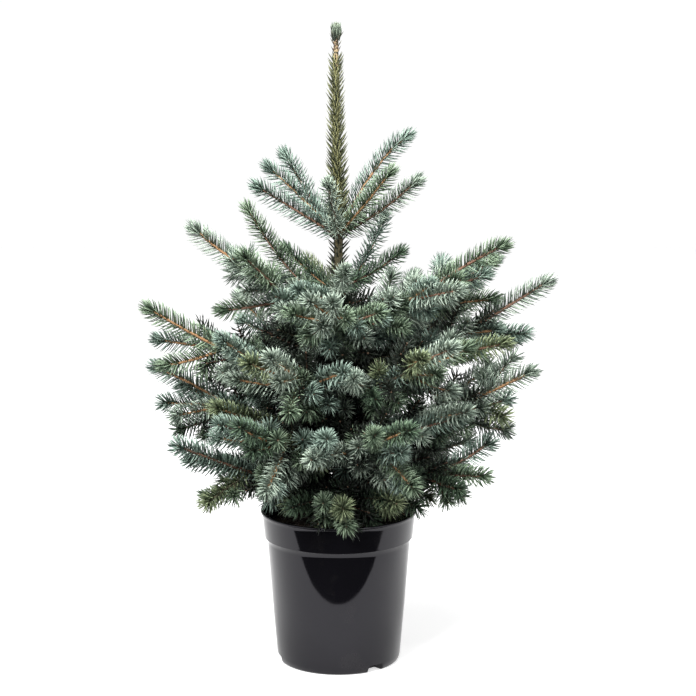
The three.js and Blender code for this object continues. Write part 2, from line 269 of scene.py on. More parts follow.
def tree_of(*names):
    """A search tree over the faces of some nodes."""
    points = []
    faces = []
    for name in names:
        mesh = NODES[name].data
        first = len(points)
        points.extend(v.co.copy() for v in mesh.vertices)
        faces.extend(tuple(first + i for i in p.vertices) for p in mesh.polygons)
    return BVHTree.FromPolygons(points, faces)


def tint_for(height, rng):
    """The needles' tint on one spray."""
    shares = next(shares for foot, shares in TINT_SHARES if height > foot)
    return rng.choices(list(shares), list(shares.values()))[0]


def add_shoot(limb, rng, first=0.0, last=1.0, girth=1.0, stem=1.4 * MM, tint=None, tilt=62, lift=0.25,
              bare=0.0, parting=0.2, tufts=1):
    """Puts needles and a stem on a stretch of a limb, and a bud on its end."""
    whole = limb.part(first, last)
    reach = (limb.at(last) - limb.at(first)).length
    sway = beside(limb.heading(0.5)) * rng.uniform(-1, 1) + UP * rng.uniform(-1, 1)
    points = [
        p + sway * reach * SWAY * math.sin(math.pi * i / (len(whole) - 1))
        for i, p in enumerate(whole)
    ]
    tint = tint or tint_for(points[-1].z, rng)
    if parting > BARE_SIDED:
        stem_tint = rng.choices(["orange", "brown"], [0.7, 0.3])[0]
    else:
        stem_tint = rng.choices(["brown", "olive"], [0.45, 0.55])[0]
    occupied.add(points)
    shoots.append(Shoot(
        points, tint, stem_tint, girth, stem, stem * TIP_TAPER,
        math.radians(tilt + rng.uniform(-TILT_SPREAD, TILT_SPREAD)), lift, bare, parting, tufts,
    ))


def finger_ends(name, main):
    """The ends of a mass's own fingers: the corners that stand out furthest from the main limb."""
    hub = main.at(0.3)
    points = sorted(corners(name), key=lambda p: -(p - hub).length)
    ends = []
    for i, point in enumerate(points):
        beyond = any((point - other).length < FINGER_SPACING for other in points[:i])
        inner = (point - hub).length < HUB_ROOM * main.length()
        if not (beyond or inner) and (point - main.tip).length > 0.9 * FINGER_SPACING:
            ends.append(middle_of([p for p in points if (p - point).length < 8 * MM]))
    return ends[:MOST_FINGERS]


def skin_points(name, rng, spacing, taken, tries=900):
    """Points spread over a mass's skin, none within a spacing of another or of those taken."""
    mesh = NODES[name].data
    areas = [p.area for p in mesh.polygons]
    found = list(taken)
    for face in rng.choices(range(len(areas)), areas, k=tries):
        polygon = mesh.polygons[face]
        a, b, c = (mesh.vertices[i].co for i in polygon.vertices)
        u = rng.random()
        v = rng.random()
        if u + v > 1:
            u, v = 1 - u, 1 - v
        point = a + (b - a) * u + (c - a) * v
        buried = CROWN.ray_cast(point + polygon.normal * 0.2 * MM, polygon.normal, BURIED)[0]
        if buried and rng.random() < BURIED_LEFT_OUT:
            continue
        if all((point - other).length > spacing for other in found):
            found.append(point)
    return found[len(taken):]


def side_limb_to(target, limbs, longest=LONGEST, closest=0.3):
    """The side limb to a target from the place on some limbs where it leaves most naturally."""
    best = None
    for limb, first, last in limbs:
        count = max(4, round(limb.length() * (last - first) / (9 * MM)))
        for i in range(count + 1):
            share = first + (last - first) * i / count
            way = target - limb.at(share)
            span = way.length
            angle = limb.heading(share).angle(way)
            if not (SHORTEST < span < longest and closest < angle < WIDEST_ANGLE):
                continue
            cost = abs(angle - NATURAL_ANGLE) * ANGLE_COST + span * SPAN_COST
            if best is None or cost < best[0]:
                best = (cost, limb, share)
    if best is None:
        return None
    _, limb, share = best
    start = limb.at(share)
    ahead = limb.heading(share)
    way = target - start
    square = (way - ahead * way.dot(ahead)).normalized()
    return Limb(start, start + way * 0.45 + square * way.length * 0.09, target)


def grow_fan(name, rng):
    """One bough with its fingers, side shoots and needles, inside its mass."""
    whorl, _, place = name.partition("_foliage_")
    main = bough_limb(f"{whorl}_bough_{place}", name)
    ends = finger_ends(name, main)
    sky = [ends[rank] for rank in OPEN_FINGERS.get(name, ())]
    main = Limb(main.foot, main.bend, main.tip - main.heading(1) * NEEDLE_REACH)
    if name in CUT_SHORT:
        main = main.cut(CUT_SHORT[name])
    fresh = 1 - THIS_YEAR * rng.uniform(0.85, 1.1)
    old_wood.append((main, fresh))
    bare_bough, bare_finger = BARE_SIDES[whorl]
    add_shoot(main, rng, fresh, 1, girth=1.05, stem=STEM_RADIUS["bough"], parting=bare_bough, tufts=2)
    add_shoot(main, rng, 0.16, fresh, girth=0.95, stem=0.6 * MM, lift=0.35, parting=0.3, tufts=0)
    limbs = [(main, 0.1, fresh)]
    taken = [main.tip]
    for end in [e for e in ends if e not in sky]:
        finger = side_limb_to(end, [(main, *FINGERS_LEAVE)], longest=1, closest=0.06)
        if finger is None:
            continue
        finger.tip = finger.tip - finger.heading(1) * NEEDLE_REACH
        add_shoot(finger, rng, 0.05, 1, stem=STEM_RADIUS["finger"], parting=bare_finger, tufts=2)
        limbs.append((finger, 0.15, OLD_SHARE_OF_FINGER))
        taken.append(finger.tip)
    targets = skin_points(name, rng, TIP_SPACING[whorl], taken)
    targets.sort(key=lambda p: -min((p - limb.at(s / 8)).length for limb, _, _ in limbs for s in range(9)))
    for target in targets:
        if occupied.has(target, COVERED) or any((target - e).length < OPEN_ROOM for e in sky):
            continue
        twig = side_limb_to(target, limbs)
        if twig is None:
            continue
        twig.tip = twig.tip - twig.heading(1) * 7 * MM
        span = twig.length()
        add_shoot(twig, rng, girth=rng.uniform(0.93, 1.05), stem=(1.1 + 5 * span) * MM,
                  lift=rng.uniform(0.1, 0.35), bare=0.14)
        if span > PARENT:
            limbs.append((twig, 0.25, OLD_SHARE_OF_TWIG))
    if whorl == "upper":
        inner_twigs(main, 0.3, rng, count=5, reaches=(30, 46), tint=None)
    else:
        inner_twigs(main, fresh, rng, count=9, reaches=(42, 74), tint="shade")


def inner_twigs(main, last, rng, count, reaches, tint):
    """Twigs all round a bough's old wood; with the shade tint their needles are near-black, painted shade
    where little light comes. Reaches are in mm.
    """
    for i in range(count):
        share = 0.1 + (last - 0.1) * (i + rng.random()) / count
        ahead = main.heading(share)
        side = beside(ahead)
        turn = i * GOLDEN_ANGLE
        square = side * math.cos(turn) + side.cross(ahead) * math.sin(turn)
        reach = rng.uniform(*reaches) * MM
        foot = main.at(share)
        tip = foot + (ahead * 0.75 + square * 0.66) * reach
        add_shoot(Limb(foot, foot.lerp(tip, 0.5) + square * 3 * MM, tip), rng, 0.15, 1,
                  girth=0.9, stem=1.2 * MM, tint=tint, tufts=0)


def grow_inside(rng, count=INSIDE_SHOOTS):
    """Shoots of near-black needles on the trunk between the whorls, painted shade that closes the crown's
    middle.
    """
    for i in range(count):
        share = (i + rng.random()) / count
        foot = trunk_at(INSIDE_FOOT + INSIDE_RISE * share).centre
        turn = i * GOLDEN_ANGLE + rng.uniform(-0.3, 0.3)
        reach = rng.uniform(80, 155) * (1 - 0.55 * share ** 2) * MM
        tip = foot + outward(turn) * reach + UP * reach * rng.uniform(0.1, 0.5)
        add_shoot(Limb(foot, foot.lerp(tip, 0.5) - UP * 4 * MM, tip), rng, 0.1, 1,
                  girth=0.95, tint="shade", tufts=0)


def grow_crown():
    """Everything that stands for the foliage nodes, each one from its own seed."""
    for seed, name in enumerate(FOLIAGE):
        rng = random.Random(CROWN_SEED + seed)
        if name.startswith(("top_shoot", "slender_shoot")):
            limb = shoot_limb(name)
            limb.tip = limb.tip - limb.heading(1) * NEEDLE_REACH
            kind = name.partition("_")[0]
            tint = "deep" if name in DEEP_SHOOTS else None
            add_shoot(limb, rng, 0.04, 1, girth=0.96, stem=STEM_RADIUS[kind], tint=tint, lift=0.3,
                      parting=0.65, tufts=2)
        elif "_foliage_" in name:
            grow_fan(name, rng)
    grow_inside(random.Random(INSIDE_SEED))


FOLIAGE = sorted(n for n in NODES if "foliage" in n or "shoot" in n)
CROWN = tree_of(*FOLIAGE)
grow_crown()

# ---------------------------------------------------------------- node graphs


class Value:
    """A socket in an expression: arithmetic on it adds Math nodes to its graph."""

    def __init__(self, graph, socket):
        self.graph = graph
        self.socket = socket

    def __add__(self, other):
        return self.graph.math("ADD", self, other)

    def __radd__(self, other):
        return self.graph.math("ADD", other, self)

    def __rsub__(self, other):
        return self.graph.math("SUBTRACT", other, self)

    def __mul__(self, other):
        return self.graph.math("MULTIPLY", self, other)


class Graph:
    """A node tree being made. Each method adds what it is named for and gives back an output."""

    def __init__(self, tree):
        self.tree = tree

    def node(self, kind, settings=None, sockets=None, output=0):
        made = self.tree.nodes.new(kind)
        for key, value in (settings or {}).items():
            setattr(made, key, value)
        for key, value in (sockets or {}).items():
            socket = socket_of(made.inputs, key)
            if isinstance(value, Value):
                self.tree.links.new(value.socket, socket)
            else:
                socket.default_value = value
        return Value(self, socket_of(made.outputs, output))

    def math(self, operation, *values):
        return self.node("ShaderNodeMath", {"operation": operation}, dict(enumerate(values)))

    def vector(self, operation, first, second=(0, 0, 0)):
        output = "Value" if operation == "DOT_PRODUCT" else "Vector"
        return self.node("ShaderNodeVectorMath", {"operation": operation}, {0: first, 1: second}, output)

    def scaled(self, first, size):
        return self.node("ShaderNodeVectorMath", {"operation": "SCALE"}, {0: first, "Scale": size})

    def xyz(self, x=0, y=0, z=0):
        return self.node("ShaderNodeCombineXYZ", sockets={0: x, 1: y, 2: z})

    def height_of(self, place):
        return self.node("ShaderNodeSeparateXYZ", sockets={0: place}, output="Z")

    def place(self):
        """The object's own coordinates."""
        return self.node("ShaderNodeTexCoord", output="Object")

    def noise(self, place, scale, detail):
        """Noise over a place, drawn out along an axis where the scale has three numbers."""
        if isinstance(scale, tuple):
            place = self.node("ShaderNodeMapping", sockets={0: place, "Scale": scale})
            scale = 1
        return self.node("ShaderNodeTexNoise", sockets={"Vector": place, "Scale": scale, "Detail": detail})

    def ranged(self, value, old=(0, 1), new=(0, 1)):
        """A value carried from one range to another."""
        return self.node("ShaderNodeMapRange", sockets={
            "Value": value, "From Min": old[0], "From Max": old[1], "To Min": new[0], "To Max": new[1]})

    def ramp(self, value, *stops):
        """The colour for a value, from stops that each have a place and a colour."""
        made = self.node("ShaderNodeValToRGB", sockets={0: value})
        elements = made.socket.node.color_ramp.elements
        while len(elements) < len(stops):
            elements.new(0.5)
        for stop, (place, colour) in zip(elements, stops):
            stop.position = place
            stop.color = (*colour, 1)
        return made

    def mixed(self, factor, first, second):
        """A colour between two."""
        return self.node("ShaderNodeMix", {"data_type": "RGBA"}, {
            "Factor_Float": factor, "A_Color": first, "B_Color": second}, "Result_Color")

    def bump(self, height, strength, distance):
        return self.node("ShaderNodeBump", sockets={
            "Height": height, "Strength": strength, "Distance": distance})


def socket_of(sockets, key):
    if isinstance(key, int):
        return sockets[key]
    return next((s for s in sockets if s.identifier == key), None) or sockets[key]


# ---------------------------------------------------------------- materials


def material(name, colour, roughness, **fixed):
    """A material with plain values on its shader's own sockets."""
    made = bpy.data.materials.new(name)
    made.use_nodes = True
    shader = made.node_tree.nodes["Principled BSDF"]
    shader.inputs["Base Color"].default_value = (*colour, 1)
    shader.inputs["Roughness"].default_value = roughness
    for key, value in fixed.items():
        shader.inputs[key.replace("_", " ")].default_value = value
    return made


def feed(made, **values):
    """Links what changes over a surface to its shader."""
    shader = made.node_tree.nodes["Principled BSDF"]
    for key, value in values.items():
        made.node_tree.links.new(value.socket, shader.inputs[key.replace("_", " ")])


# each tint's lit needles and a darker copy of the same tint that is painted shade, which half the needles
# take at random
NEEDLE_TINTS = {
    "pale": ((0.430, 0.515, 0.420), (0.142, 0.186, 0.148)),
    "blue": ((0.300, 0.400, 0.332), (0.088, 0.132, 0.106)),
    "green": ((0.262, 0.350, 0.235), (0.076, 0.115, 0.071)),
    "deep": ((0.130, 0.200, 0.125), (0.040, 0.067, 0.042)),
    "olive": ((0.258, 0.312, 0.172), (0.082, 0.108, 0.056)),
    # near-black needles for the crown's inside: painted shade
    "shade": ((0.014, 0.021, 0.013), (0.007, 0.011, 0.007)),
    "spine": ((0.040, 0.045, 0.030), (0.025, 0.028, 0.020)),
    "leader": ((0.240, 0.238, 0.104), (0.160, 0.162, 0.072)),
    "spike": ((0.150, 0.160, 0.085), (0.056, 0.064, 0.034)),
    "collar": ((0.075, 0.070, 0.042), (0.042, 0.042, 0.028)),
    "tuft": ((0.200, 0.245, 0.180), (0.095, 0.122, 0.090)),
}
CROWN_TINTS = ("pale", "blue", "green", "deep", "olive", "shade")
STEM_TINTS = {
    "orange": (0.280, 0.150, 0.066),
    "brown": (0.150, 0.078, 0.048),
    "olive": (0.070, 0.060, 0.033),
}


def needle_materials(tint):
    """Waxy needles of one tint: a lit material and a darker copy that is painted shade."""
    light, shaded = NEEDLE_TINTS[tint]
    return (
        material(f"waxy {tint} needle", light, 0.5, Specular_IOR_Level=0.35),
        material(f"shaded {tint} needle", shaded, 0.55, Specular_IOR_Level=0.3),
    )


def bark_material():
    """Olive brown young bark that turns grey brown and scaly near the soil."""
    made = material("spruce bark", (0.2, 0.13, 0.07), 0.85)
    graph = Graph(made.node_tree)
    place = graph.place()
    fibre = graph.noise(place, (260, 260, 60), 4)
    patch = graph.noise(place, 45, 3)
    young = graph.ranged(graph.height_of(place) + patch * 0.12, old=(0.33, 0.62))
    old = graph.ramp(
        fibre, (0.3, (0.055, 0.038, 0.026)), (0.55, (0.125, 0.088, 0.06)), (0.75, (0.22, 0.175, 0.13)))
    fresh = graph.ramp(
        fibre, (0.3, (0.020, 0.018, 0.009)), (0.55, (0.050, 0.043, 0.020)), (0.75, (0.105, 0.082, 0.037)))
    feed(made, Base_Color=graph.mixed(young, old, fresh), Roughness=graph.ranged(fibre, new=(0.7, 0.95)),
         Normal=graph.bump(fibre, 0.5, 0.0006))
    return made


def pot_material():
    """Glossy black moulded plastic, with faint flow marks, dust and fine scuffs."""
    made = material("glossy black plastic", (0.004, 0.004, 0.005), 0.08, IOR=1.325,
                    Specular_Tint=(0.94, 0.92, 1, 1))
    graph = Graph(made.node_tree)
    place = graph.place()
    ripple = graph.noise(place, (26, 26, 6), 2)
    cloud = graph.noise(place, 30, 5)
    dust = graph.ranged(cloud, old=(0.56, 0.8))
    colour = graph.mixed(dust, (0.0042, 0.0040, 0.0055, 1), (0.010, 0.0095, 0.010, 1))
    feed(made, Base_Color=colour, Roughness=0.03 + cloud * 0.06 + dust * 0.06,
         Normal=graph.bump(ripple, 0.25, 0.0008))
    return made


def soil_material():
    """Crumbly moist compost."""
    dark = (0.012, 0.008, 0.005)
    light = (0.05, 0.033, 0.02)
    made = material("moist compost", dark, 0.95)
    graph = Graph(made.node_tree)
    grain = graph.noise(graph.place(), 240, 6)
    feed(made, Base_Color=graph.ramp(grain, (0.35, dark), (0.7, light)),
         Normal=graph.bump(grain, 0.8, 0.001))
    return made


# ---------------------------------------------------------------- geometry node trees

LINE_FACTS = ("girth", "tilt", "lift", "stem", "parting", "side")
ANY_TURN = 6.28                 # radians


class GrowthTree(Graph):
    """A geometry node tree with named inputs and one geometry output."""

    def __init__(self, name, inputs):
        super().__init__(bpy.data.node_groups.new(name, "GeometryNodeTree"))
        self.keys = {}
        for label, kind in {"Lines": "NodeSocketGeometry", **inputs}.items():
            socket = self.tree.interface.new_socket(label, in_out="INPUT", socket_type=kind)
            self.keys[label] = socket.identifier
        self.tree.interface.new_socket("Piece", in_out="OUTPUT", socket_type="NodeSocketGeometry")
        self.inputs = self.tree.nodes.new("NodeGroupInput")
        self.outputs = self.tree.nodes.new("NodeGroupOutput")

    def given(self, label):
        return Value(self, self.inputs.outputs[label])

    def kept(self, name, kind="FLOAT"):
        """An attribute that the lines carry."""
        return self.node("GeometryNodeInputNamedAttribute", {"data_type": kind}, {"Name": name})

    def chance(self, low, high, seed):
        return self.node("FunctionNodeRandomValue", {"data_type": "FLOAT"}, {
            "Min_001": low, "Max_001": high, "Seed": self.given("Seed") + seed}, output=1)

    def points_along(self, spacing):
        """The lines as curves, with points at the spacing that an input gives."""
        lines = self.node("GeometryNodeMeshToCurve", sockets={"Mesh": self.given("Lines")})
        return self.node("GeometryNodeResampleCurve", {"mode": "LENGTH"}, {
            "Curve": lines, "Length": self.given(spacing)})

    def aimed(self, axis, other):
        """The turn that brings a piece's own Z to one direction and its X towards another."""
        return self.node("FunctionNodeAxesToRotation", {"primary_axis": "Z", "secondary_axis": "X"}, {
            "Primary Axis": axis, "Secondary Axis": other})

    def balls(self, points, rotation, scale):
        """A small ball at each point, turned and scaled."""
        ball = self.node("GeometryNodeMeshIcoSphere", sockets={"Radius": 0.5, "Subdivisions": 1})
        return self.node("GeometryNodeInstanceOnPoints", sockets={
            "Points": points, "Instance": ball, "Rotation": rotation, "Scale": scale})

    def finished(self, geometry, finish, smooth=True):
        """Geometry made real, in the material that an input gives."""
        real = self.node("GeometryNodeRealizeInstances", sockets={0: geometry})
        if smooth:
            real = self.node("GeometryNodeSetShadeSmooth", sockets={"Geometry": real})
        return self.node("GeometryNodeSetMaterial", sockets={
            "Geometry": real, "Material": self.given(finish)})

    def end(self, geometry):
        self.tree.links.new(geometry.socket, self.outputs.inputs[0])
        return self

    def run(self, name, lines, **values):
        """The plain mesh object that this tree makes of some lines."""
        holder = bpy.data.objects.new(name + "_lines", lines)
        bpy.context.scene.collection.objects.link(holder)
        modifier = holder.modifiers.new("Growth", "NODES")
        modifier.node_group = self.tree
        for label, value in values.items():
            modifier[self.keys[label.replace("_", " ")]] = value
        depsgraph = bpy.context.evaluated_depsgraph_get()
        mesh = bpy.data.meshes.new_from_object(holder.evaluated_get(depsgraph))
        holder.modifiers.clear()
        bpy.data.objects.remove(holder)
        for attribute in [a.name for a in mesh.attributes if a.name in LINE_FACTS + ("shade",)]:
            mesh.attributes.remove(mesh.attributes[attribute])
        if mesh.materials and mesh.materials[0] is None:
            mesh.materials.pop(index=0)
        mesh.name = name
        return link(name, mesh)


def link(name, data):
    made = bpy.data.objects.new(name, data)
    bpy.context.scene.collection.objects.link(made)
    return made


def mesh_of(name, points, faces, *finishes):
    """A mesh of points and faces, in one material or none."""
    mesh = bpy.data.meshes.new(name)
    mesh.from_pydata(points, [], faces)
    for finish in finishes:
        mesh.materials.append(finish)
    return mesh


def needle_tree():
    """Curved three-sided needles in a spiral round each line, forward at its tip like a brush."""
    tree = GrowthTree("needles along shoots", {
        "Needle Length": "NodeSocketFloat", "Needle Width": "NodeSocketFloat",
        "Spacing": "NodeSocketFloat", "Curve": "NodeSocketFloat", "Seed": "NodeSocketInt",
        "Light": "NodeSocketMaterial", "Shaded": "NodeSocketMaterial",
    })
    ahead = tree.node("GeometryNodeInputTangent")
    side = tree.kept("side", "FLOAT_VECTOR")
    over = tree.vector("CROSS_PRODUCT", side, ahead)
    step = tree.node("GeometryNodeSplineParameter", output="Index")
    turn = step * GOLDEN_ANGLE + tree.chance(-0.12, 0.12, 1)
    sideways = tree.scaled(side, tree.math("COSINE", turn))
    upward = tree.scaled(over, tree.math("SINE", turn) + tree.kept("lift"))
    out = tree.vector("NORMALIZE", tree.vector("ADD", sideways, upward))
    tilt = tree.kept("tilt") + tree.chance(-0.06, 0.06, 2)
    aim = tree.vector(
        "ADD", tree.scaled(ahead, tree.math("COSINE", tilt)), tree.scaled(out, tree.math("SINE", tilt)))

    length = tree.given("Needle Length")
    cone = tree.node("GeometryNodeMeshCone", {"fill_type": "NGON"}, {
        "Vertices": 3, "Side Segments": 2, "Radius Top": 0.0,
        "Radius Bottom": tree.given("Needle Width") * 0.5, "Depth": length})
    place = tree.node("GeometryNodeInputPosition")
    share = tree.math("DIVIDE", tree.height_of(place), length)
    middle = share * (1 - share) * 4
    belly = 1 + middle * 0.8
    swollen = tree.vector("MULTIPLY", place, tree.xyz(belly, belly, 1 + middle * 0.4))
    bent = tree.vector("ADD", swollen, tree.xyz(share * share * length * tree.given("Curve")))
    needle = tree.node("GeometryNodeSetPosition", sockets={"Geometry": cone, "Position": bent})

    to_the_side = tree.vector("DOT_PRODUCT", side, out)
    grown = tree.math("GREATER_THAN", tree.chance(0, 1, 3), to_the_side * to_the_side * tree.kept("parting"))
    spread = tree.node("GeometryNodeInstanceOnPoints", sockets={
        "Points": tree.points_along("Spacing"), "Instance": needle, "Rotation": tree.aimed(aim, ahead),
        "Selection": grown, "Scale": tree.kept("girth") * tree.chance(0.92, 1.06, 4)})
    # half the needles, at random, take the darker copy: painted shade among the lit needles
    dealt_out = tree.node("GeometryNodeStoreNamedAttribute", {"data_type": "FLOAT", "domain": "INSTANCE"}, {
        "Geometry": spread, "Name": "shade", "Value": tree.chance(0, 1, 5)})
    return tree.end(tree.node("GeometryNodeSetMaterial", sockets={
        "Geometry": tree.finished(dealt_out, "Light"), "Material": tree.given("Shaded"),
        "Selection": tree.math("GREATER_THAN", tree.kept("shade"), 0.5)}))


def stem_tree():
    """Round stems along the lines, as thick as each line says, a little knobbly."""
    tree = GrowthTree("stems along shoots", {
        "Sides": "NodeSocketInt", "Step": "NodeSocketFloat", "Seed": "NodeSocketInt",
        "Bark": "NodeSocketMaterial"})
    circle = tree.node("GeometryNodeCurvePrimitiveCircle", {"mode": "RADIUS"}, {
        "Resolution": tree.given("Sides"), "Radius": 1.0})
    tube = tree.node("GeometryNodeCurveToMesh", sockets={
        "Curve": tree.points_along("Step"), "Profile Curve": circle, "Fill Caps": True,
        "Scale": tree.kept("stem") * tree.chance(0.85, 1.2, 1)})
    return tree.end(tree.finished(tube, "Bark"))


def bud_tree():
    """Small pointed buds, one at each line's first point, aimed along its side fact."""
    tree = GrowthTree("buds on tips", {
        "Bud Length": "NodeSocketFloat", "Seed": "NodeSocketInt", "Scales": "NodeSocketMaterial"})
    points = tree.node("GeometryNodeMeshToPoints", sockets={"Mesh": tree.given("Lines")})
    size = tree.given("Bud Length") * tree.kept("girth") * tree.chance(0.8, 1.2, 1)
    turned = tree.aimed(tree.kept("side", "FLOAT_VECTOR"), (0.2, 0.3, 1.0))
    buds = tree.balls(points, turned, tree.xyz(size * 0.62, size * 0.62, size))
    return tree.end(tree.finished(buds, "Scales"))


def crumb_tree():
    """Crumbs strewn over a surface."""
    tree = GrowthTree("crumbs on soil", {
        "Crumb Size": "NodeSocketFloat", "Density": "NodeSocketFloat", "Seed": "NodeSocketInt",
        "Compost": "NodeSocketMaterial"})
    points = tree.node("GeometryNodeDistributePointsOnFaces", sockets={
        "Mesh": tree.given("Lines"), "Density": tree.given("Density"), "Seed": tree.given("Seed")})
    size = tree.given("Crumb Size") * tree.chance(0.3, 1.2, 1)
    scale = tree.xyz(size, size * tree.chance(0.5, 1, 2), size * tree.chance(0.4, 0.9, 3))
    turns = tree.xyz(*[tree.chance(0, ANY_TURN, seed) for seed in (4, 5, 6)])
    turned = tree.node("FunctionNodeEulerToRotation", sockets={0: turns})
    return tree.end(tree.finished(tree.balls(points, turned, scale), "Compost", smooth=False))


# ---------------------------------------------------------------- needles, stems and buds

NEEDLE_LENGTH = 24.5 * MM
NEEDLE_WIDTH = 2.0 * MM
NEEDLE_SPACING = 0.52 * MM
SHADE_WIDTH = 2.5 * MM       # the crown's inner needles, near-black painted shade, are fewer and broader
SHADE_SPACING = 1.0 * MM
NEEDLE_CURVE = 0.09
TUFT_LENGTH = 9 * MM
PIECE_LIMIT = 185000         # triangles
NEEDLE_TRIANGLES = 10
BRUSH_FROM = 0.82            # share of a shoot where its brush of end needles starts
TUFT_TURN = 1.3              # radians

# how much thinner and further forward a brush's needles get, and its tufts' tilts along their lines
Brush = namedtuple("Brush", "thinner forward tuft_tilts")
POINTED = Brush(0.2, 0.5, (0.8, 0.6, 0.3))
OPEN = Brush(0.1, 0.3, (1.05, 0.85, 0.42))


def line_mesh(name, lines):
    """A mesh of edges from (points, facts at each point) pairs."""
    mesh = bpy.data.meshes.new(name)
    points = []
    edges = []
    for line, _ in lines:
        first = len(points)
        points.extend(line)
        edges.extend((i, i + 1) for i in range(first, len(points) - 1))
    mesh.from_pydata(points, edges, [])
    facts = [fact for _, line_facts in lines for fact in line_facts]
    for key in LINE_FACTS:
        kind = "FLOAT_VECTOR" if key == "side" else "FLOAT"
        attribute = mesh.attributes.new(key, kind, "POINT")
        values = [fact[key] for fact in facts]
        if kind == "FLOAT_VECTOR":
            attribute.data.foreach_set("vector", [c for v in values for c in v])
        else:
            attribute.data.foreach_set("value", values)
    return mesh


def eased(low, high, value):
    """How far a value has gone from low to high, starting and ending gently."""
    share = min(1.0, max(0.0, (value - low) / (high - low)))
    return share * share * (3 - 2 * share)


def brush_of(shoot):
    """A pointed brush for this year's shoots high up, an open one for all others."""
    pointed = shoot.parting > BARE_SIDED and shoot.points[-1].z > POINTED_ABOVE
    return POINTED if pointed else OPEN


def line_of(shoot, bare=0.0):
    """A shoot's points past its bare foot, with what its needles and stem need at each of them."""
    last = len(shoot.points) - 1
    kind = brush_of(shoot)
    points = shoot.points[round(bare * last):]
    facts = []
    for i in range(last + 1 - len(points), last + 1):
        ahead = (shoot.points[min(i + 1, last)] - shoot.points[max(i - 1, 0)]).normalized()
        share = i / last
        brush = eased(BRUSH_FROM, 1, share)
        girth = shoot.girth * (0.86 + 0.14 * eased(0, 0.2, share))
        facts.append({
            "side": beside(ahead),
            "girth": girth * (1 - kind.thinner * brush),
            "tilt": shoot.tilt * (1 - kind.forward * brush),
            "lift": shoot.lift * (1 - brush),
            "stem": shoot.foot_radius + (shoot.tip_radius - shoot.foot_radius) * share,
            "parting": shoot.parting * (1 - eased(0.68, 0.95, share)),
        })
    return points, facts


def tufts_of(shoot):
    """Short lines beside a shoot's end, which close its brush of needles."""
    ahead = (shoot.points[-1] - shoot.points[-2]).normalized()
    side = beside(ahead)
    over = side.cross(ahead)
    tufts = []
    for number in range(shoot.tufts):
        turn = TUFT_TURN + number * GOLDEN_ANGLE
        spoke = side * math.cos(turn) + over * math.sin(turn)
        foot = shoot.points[-1] - ahead * TUFT_LENGTH + spoke * MM
        fact = {"side": spoke, "girth": shoot.girth * 0.88, "lift": 0.0, "stem": 0.0, "parting": 0.0}
        points = [foot + ahead * TUFT_LENGTH * share for share in (0.0, 0.5, 1.0)]
        tufts.append((points, [{**fact, "tilt": shoot.tilt * share} for share in brush_of(shoot).tuft_tilts]))
    return tufts


def reach_of(shoot):
    """A shoot's length along its points."""
    return sum((b - a).length for a, b in zip(shoot.points, shoot.points[1:]))


def dealt(members, spacing):
    """Shoots in groups whose needles stay under the limit for one piece."""
    groups = [[]]
    count = 0
    for shoot in members:
        needles = (reach_of(shoot) + shoot.tufts * TUFT_LENGTH) / spacing + 2
        if (count + needles) * NEEDLE_TRIANGLES > PIECE_LIMIT:
            groups.append([])
            count = 0
        groups[-1].append(shoot)
        count += needles
    return groups


NEEDLES_ALONG = needle_tree()
STEMS_ALONG = stem_tree()
BUDS_ON = bud_tree()
CRUMBS_ON = crumb_tree()


def ride(piece, slot, *replaced):
    """Puts a piece on the one body and hides the nodes that it stands for. The slot is not used."""
    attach(piece, "root")
    if replaced:
        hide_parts(*replaced)
    return piece


WHORL_HEIGHT = 650 * MM          # the foot of the leader, where the top shoots leave
SPINE_FOOT = 556 * MM
LEADER_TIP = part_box("leader_foliage")[1].z
WAIST_RADIUS = 3.5 * MM
TIP_SCALES = 14                  # bud scales on the leader's bare waist
TUFT_LINES = 11


def upright_line(low, high, facts_at, step=6 * MM):
    """A line up the trunk with facts from its share of the way."""
    count = round((high - low) / step)
    points = []
    facts = []
    for i in range(count + 1):
        share = i / count
        points.append(trunk_at(low + (high - low) * share).centre)
        facts.append({"side": Vector((1, 0, 0)), "lift": 0.0, "stem": 0.0, "parting": 0.0, **facts_at(share)})
    return points, facts


def evenly(girth, tilt, girth_change=0.0, tilt_change=0):
    """Facts that change evenly from a line's foot to its top. Tilts are in degrees."""
    return lambda share: {
        "girth": girth + girth_change * share, "tilt": math.radians(tilt + tilt_change * share)}


def make_needles():
    """The crown's needles, a piece or more for each tint."""
    masses = [n for n in FOLIAGE if n != "leader_foliage"]
    for tint in CROWN_TINTS:
        members = [s for s in shoots if s.tint == tint]
        light, shaded = needle_materials(tint)
        width, spacing = (SHADE_WIDTH, SHADE_SPACING) if tint == "shade" else (NEEDLE_WIDTH, NEEDLE_SPACING)
        for number, group in enumerate(dealt(members, spacing), 1):
            lines = [line_of(s, s.bare) for s in group] + [tuft for s in group for tuft in tufts_of(s)]
            piece = NEEDLES_ALONG.run(
                f"needles_{tint}_{number}", line_mesh(tint, lines),
                Needle_Length=NEEDLE_LENGTH, Needle_Width=width, Spacing=spacing,
                Curve=NEEDLE_CURVE, Seed=number * 11, Light=light, Shaded=shaded)
            ride(piece, "needles", *masses)


def make_stems():
    """The shoots' young stems, a piece for each tint, and the leader's bare waist under its tuft."""
    for tint, colour in STEM_TINTS.items():
        members = [s for s in shoots if s.stem_tint == tint]
        piece = STEMS_ALONG.run(
            f"young_stems_{tint}", line_mesh(tint, [line_of(s) for s in members]),
            Sides=5, Step=6 * MM, Seed=3, Bark=material(f"young {tint} stem", colour, 0.7))
        ride(piece, "bark")

    waist = upright_line(LEADER_TIP - 68 * MM, LEADER_TIP - 30 * MM, lambda share: {
        "girth": 1, "tilt": 0, "stem": WAIST_RADIUS})
    piece = STEMS_ALONG.run(
        "leader_waist", line_mesh("waist", [waist]),
        Sides=10, Step=3 * MM, Seed=4, Bark=material("tan leader stem", (0.360, 0.270, 0.150), 0.7))
    ride(piece, "bark")


